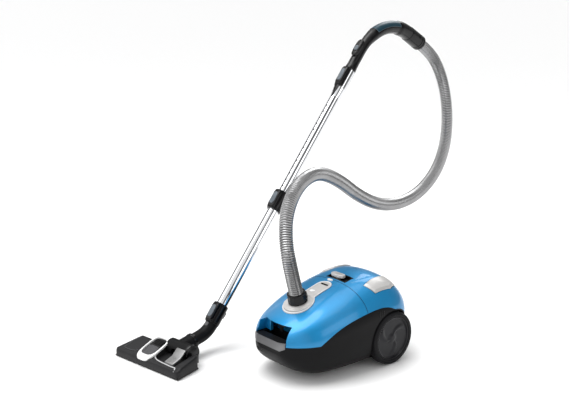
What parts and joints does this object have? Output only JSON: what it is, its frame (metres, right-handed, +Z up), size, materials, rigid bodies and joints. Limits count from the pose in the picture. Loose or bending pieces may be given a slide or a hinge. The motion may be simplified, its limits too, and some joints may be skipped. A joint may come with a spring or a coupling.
{
  "type": "canister vacuum cleaner",
  "caption": "Bagged canister vacuum cleaner with corrugated hose, curved handle, telescopic chrome wand and combination floor head.",
  "frame": {"origin": "on the floor under the middle of the box of everything but the hose", "axes": "+Z up, +Y towards the rear of the canister and the handle, +X towards the canister's right flank"},
  "size_m": [0.5704, 1.3709, 0.8834],
  "materials": {
    "blue_shell": "metallic azure lacquer",
    "charcoal": "fine grained",
    "black_gloss": "glossy",
    "silver": "silver lacquer",
    "rubber": "matt",
    "tyre": "matt",
    "chrome": "polished",
    "steel": "turned",
    "hose_grey": "satin",
    "teal_insert": "glossy",
    "grey_button": "satin",
    "white_trim": "glossy",
    "paper": "filter fleece",
    "board": "satin",
    "bristle": "bristle",
    "housing_grey": "satin",
    "aluminium": "cast"
  },
  "bodies": {
    "canister": {"lower_housing": "charcoal", "rear_housing": "blue_shell", "carry_grip": "charcoal", "bumper_band": "silver", "slider_track": "black_gloss", "motor_can": "steel", "motor_bearings": "steel", "motor_mounts": "rubber", "cord_reel_frame": "housing_grey", "cord_outlet": "rubber", "motor_filter": "paper", "exhaust_filter": "paper", "exhaust_grille": "charcoal", "circuit_board": "board", "pedal_springs": "steel", "control_frame": "housing_grey", "housing_screws": "steel", "wheel_axles": "steel", "dust_bag": "paper"},
    "lid": {"dust_lid": "blue_shell", "inlet_panel": "silver", "inlet_collar": "silver", "bag_holder": "housing_grey"},
    "latch": {"lid_latch": "charcoal"},
    "slider": {"power_slider": "silver"},
    "power_pedal": {"power_pedal": "silver"},
    "rewind_pedal": {"rewind_pedal": "silver"},
    "rotor": {"motor_rotor": "steel", "fan_impeller": "aluminium"},
    "reel": {"cord_reel": "housing_grey"},
    "right_wheel": {"right_tyre": "tyre", "right_wheel": "charcoal"},
    "left_wheel": {"left_tyre": "tyre", "left_wheel": "charcoal"},
    "caster": {"caster_fork": "charcoal"},
    "roller": {"caster_roller": "tyre"},
    "hose": {"hose_cuff": "black_gloss", "hose": "hose_grey", "hose_swivel_cuff": "black_gloss"},
    "handle": {"handle_pipe": "black_gloss", "grip_insert": "teal_insert", "inner_tube": "chrome", "handle_clip": "black_gloss"},
    "air_slider": {"air_slider": "grey_button"},
    "handle_release": {"handle_release": "grey_button"},
    "lower_wand": {"outer_tube": "chrome", "adjuster_sleeve": "black_gloss", "wand_connector": "black_gloss", "elbow": "charcoal"},
    "adjuster": {"adjuster_button": "grey_button"},
    "head_release": {"floor_head_release": "grey_button"},
    "neck": {"neck": "charcoal", "tilt_pins": "steel"},
    "head": {"head_cover": "charcoal", "sole_plate": "black_gloss", "ring_trim": "white_trim", "window_insert": "grey_button"},
    "brushes": {"brush_strips": "bristle"},
    "pedal": {"brush_pedal": "silver"},
    "head_rollers": {"head_rollers": "tyre"}
  },
  "joints": [
    {"name": "lid_hinge", "type": "hinge", "parent": "canister", "child": "lid", "pos_m": [0.138, -0.164, 0.2405], "axis": [-1, 0, 0], "range_deg": [0, 50]},
    {"name": "latch_pull", "type": "slide", "parent": "lid", "child": "latch", "axis": [0, 1, 0], "range_m": [0, 0.004], "stiffness_N_per_m": 400, "springref_m": -0.002},
    {"name": "power_setting", "type": "slide", "parent": "canister", "child": "slider", "axis": [1, 0, 0], "range_m": [0, 0.01]},
    {"name": "power_press", "type": "slide", "parent": "canister", "child": "power_pedal", "axis": [0, 0, -1], "range_m": [0, 0.004], "stiffness_N_per_m": 800, "springref_m": -0.002},
    {"name": "rewind_press", "type": "slide", "parent": "canister", "child": "rewind_pedal", "axis": [0, 0, -1], "range_m": [0, 0.004], "stiffness_N_per_m": 800, "springref_m": -0.002},
    {"name": "rotor_spin", "type": "hinge", "parent": "canister", "child": "rotor", "pos_m": [0.174, -0.137, 0.092], "axis": [0, 1, 0], "continuous": true},
    {"name": "reel_spin", "type": "hinge", "parent": "canister", "child": "reel", "pos_m": [0.072, -0.065, 0.084], "axis": [1, 0, 0], "continuous": true},
    {"name": "right_wheel_spin", "type": "hinge", "parent": "canister", "child": "right_wheel", "pos_m": [0.27, -0.069, 0.075], "axis": [1, 0, 0], "continuous": true},
    {"name": "left_wheel_spin", "type": "hinge", "parent": "canister", "child": "left_wheel", "pos_m": [0.006, -0.069, 0.075], "axis": [1, 0, 0], "continuous": true},
    {"name": "caster_swivel", "type": "hinge", "parent": "canister", "child": "caster", "pos_m": [0.138, -0.281, 0.03], "axis": [0, 0, 1], "continuous": true},
    {"name": "caster_roll", "type": "hinge", "parent": "caster", "child": "roller", "pos_m": [0.138, -0.275, 0.011], "axis": [1, 0, 0], "continuous": true},
    {"name": "hose_swivel", "type": "hinge", "parent": "lid", "child": "hose", "pos_m": [0.138, -0.293, 0.194], "axis": [0, -0.2756, 0.9613], "range_deg": [-20, 75]},
    {"name": "handle_swivel", "type": "hinge", "parent": "hose", "child": "handle", "pos_m": [-0.25009, 0.53699, 0.84048], "axis": [-0.1122, 0.8758, -0.4695], "range_deg": [-6, 90]},
    {"name": "air_regulator", "type": "slide", "parent": "handle", "child": "air_slider", "axis": [-0.0867, 0.6765, 0.7314], "range_m": [0, 0.016]},
    {"name": "handle_release_press", "type": "slide", "parent": "handle", "child": "handle_release", "axis": [-0.0929, 0.7254, -0.682], "range_m": [0, 0.0015], "stiffness_N_per_m": 1500, "springref_m": -0.001},
    {"name": "wand_telescope", "type": "slide", "parent": "handle", "child": "lower_wand", "axis": [-0.0867, 0.6765, 0.7314], "range_m": [0, 0.32]},
    {"name": "adjuster_press", "type": "slide", "parent": "lower_wand", "child": "adjuster", "axis": [-0.0929, 0.7254, -0.682], "range_m": [0, 0.0015], "stiffness_N_per_m": 1500, "springref_m": -0.001},
    {"name": "head_release_press", "type": "slide", "parent": "lower_wand", "child": "head_release", "axis": [-0.0929, 0.7254, -0.682], "range_m": [0, 0.0015], "stiffness_N_per_m": 1500, "springref_m": -0.001},
    {"name": "elbow_swivel", "type": "hinge", "parent": "lower_wand", "child": "neck", "pos_m": [-0.11601, -0.50966, 0.04], "axis": [-0.1255, 0.9797, 0.1564], "range_deg": [-40, 40]},
    {"name": "head_tilt", "type": "hinge", "parent": "neck", "child": "head", "pos_m": [-0.11601, -0.50966, 0.04], "axis": [0.9919, 0.1271, 0], "range_deg": [-35, 6]},
    {"name": "brush_lift", "type": "slide", "parent": "head", "child": "brushes", "axis": [0, 0, 1], "range_m": [0, 0.003]},
    {"name": "pedal_press", "type": "hinge", "parent": "head", "child": "pedal", "pos_m": [-0.15201, -0.54351, 0.051], "axis": [0.9919, 0.1271, 0], "range_deg": [0, 6]},
    {"name": "head_rollers_spin", "type": "hinge", "parent": "head", "child": "head_rollers", "pos_m": [-0.15378, -0.52962, 0.006], "axis": [0.9919, 0.1271, 0], "continuous": true}
  ],
  "couplings": [
    {"joint": "brush_lift", "follows": "pedal_press", "m_per_rad": 0.028648}
  ]
}
